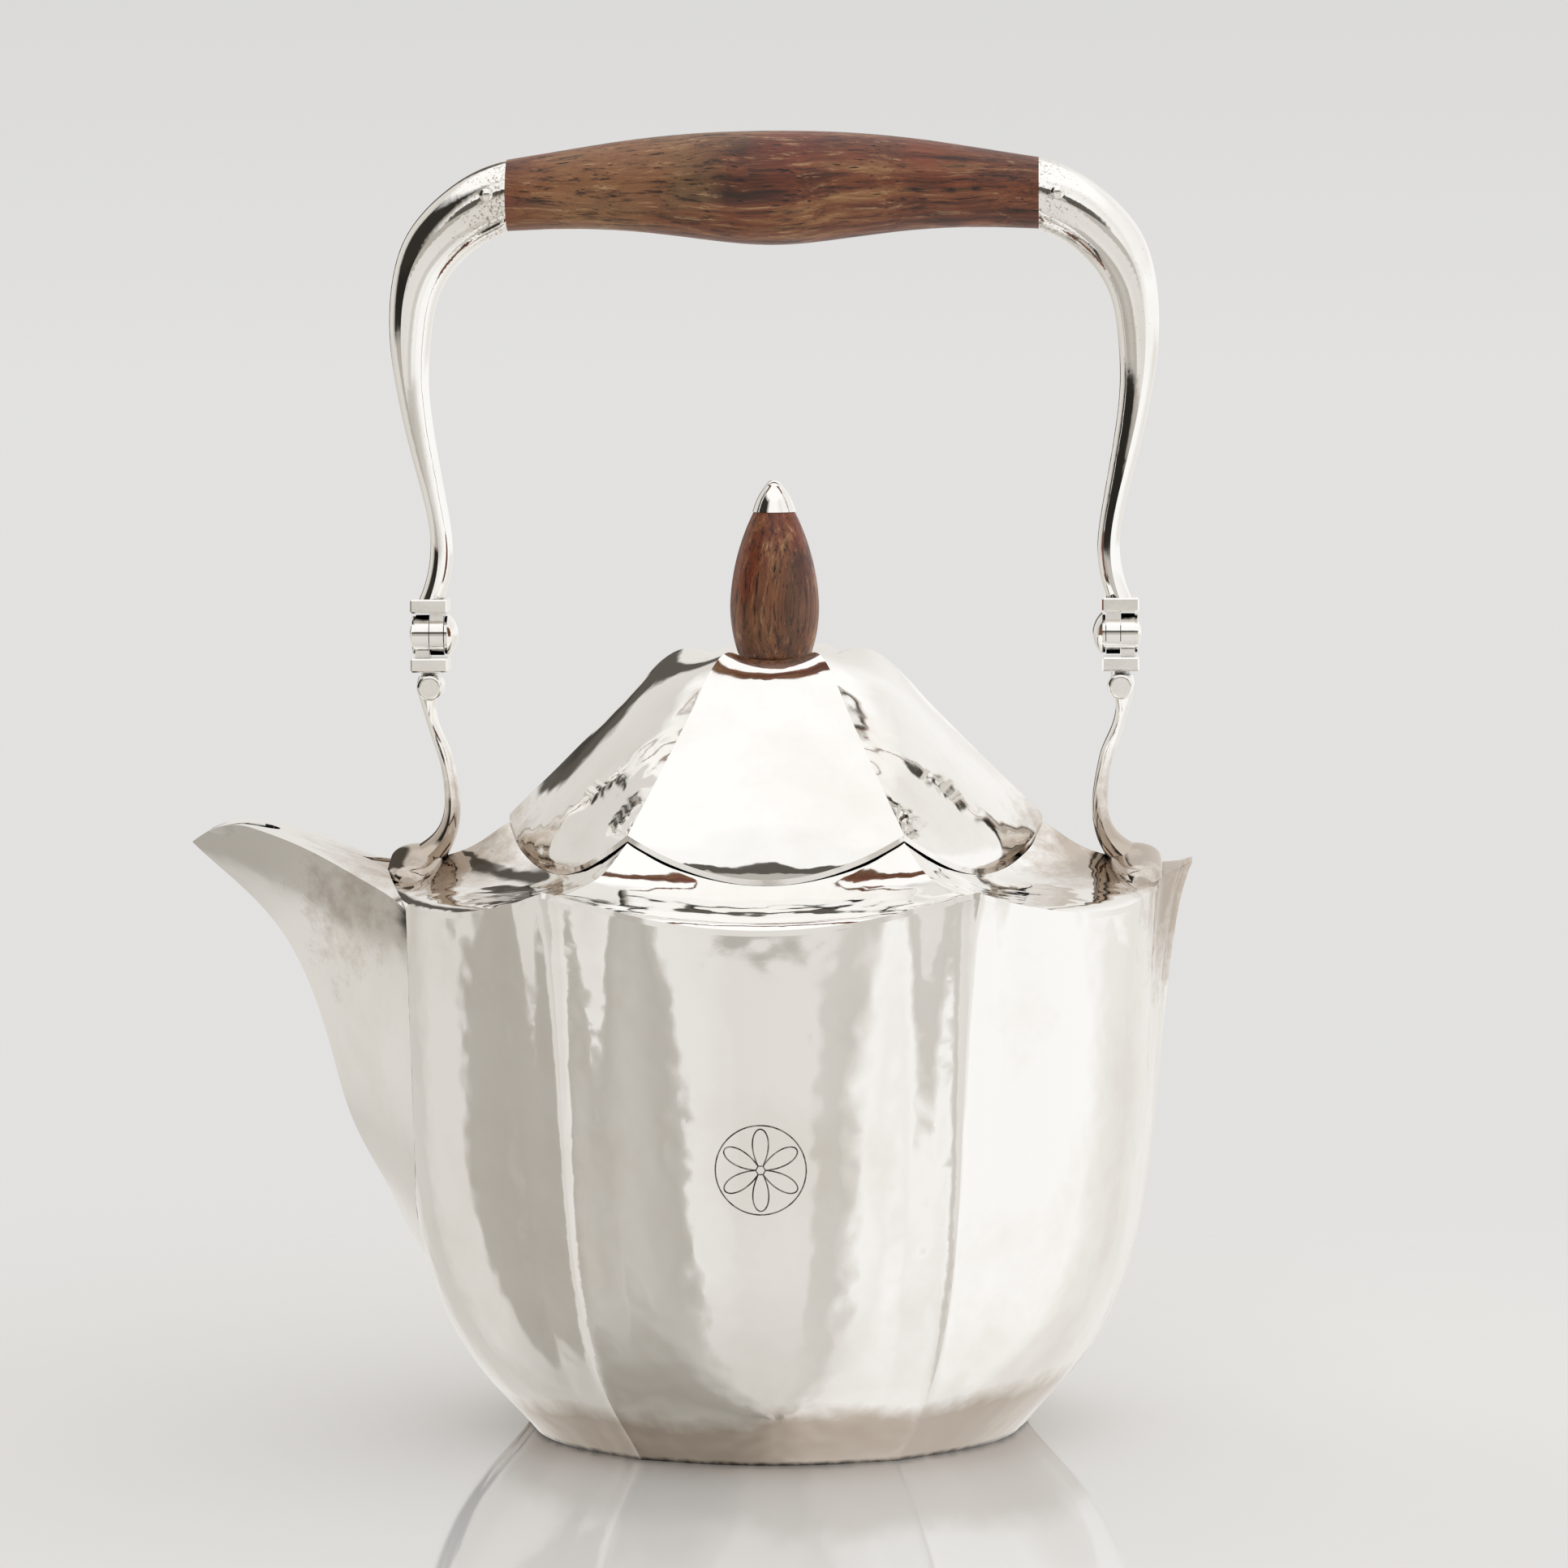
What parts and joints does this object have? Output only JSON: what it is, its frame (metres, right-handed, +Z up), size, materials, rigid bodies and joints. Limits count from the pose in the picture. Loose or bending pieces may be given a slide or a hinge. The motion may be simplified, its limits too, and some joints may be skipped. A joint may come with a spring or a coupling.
{
  "type": "silver teapot",
  "caption": "Lobed hammered silver kettle with a beaked spout, lift-off petal lid with wooden knob, and a folding bail handle with a wooden grip.",
  "frame": {"origin": "centre of the flat base on the pot's vertical axis, on the surface it stands on", "axes": "+Z up, the spout points along -X, the bail handle's two hinges lie on a line along X, +Y is the pot's far side"},
  "size_m": [0.1952, 0.1504, 0.252],
  "materials": {
    "silver_hammered": "planished silver, bright with a soft hammered ripple and a light tarnish in the corners",
    "silver_polished": "smooth polished silver with darkened recesses",
    "rosewood": "oiled reddish-brown hardwood with dark open grain"
  },
  "bodies": {
    "pot": {"body_wall": "silver_hammered", "base_plate": "silver_hammered", "shoulder": "silver_hammered", "lid_seat_collar": "silver_polished", "spout_shell": "silver_hammered", "spout_cover": "silver_hammered", "left_bracket": "silver_polished", "right_bracket": "silver_polished", "left_hinge_pin": "silver_polished", "right_hinge_pin": "silver_polished", "left_inner_washer": "silver_polished", "right_inner_washer": "silver_polished", "left_outer_washer": "silver_polished", "right_outer_washer": "silver_polished"},
    "lid": {"lid_shell": "silver_hammered", "lid_flange": "silver_polished", "knob_wood": "rosewood", "knob_finial": "silver_polished", "knob_rod": "silver_polished", "knob_washer": "silver_polished", "knob_nut": "silver_polished"},
    "handle": {"left_arm": "silver_polished", "right_arm": "silver_polished", "grip_wood": "rosewood", "left_grip_pin": "silver_polished", "right_grip_pin": "silver_polished"}
  },
  "joints": [
    {"name": "handle_fold", "type": "hinge", "parent": "pot", "child": "handle", "pos_m": [0, 0, 0.1546], "axis": [1, 0, 0], "range_deg": [-90, 90]},
    {"name": "lid_lift", "type": "slide", "parent": "pot", "child": "lid", "axis": [0, 0, 1], "range_m": [0, 0.04]}
  ]
}
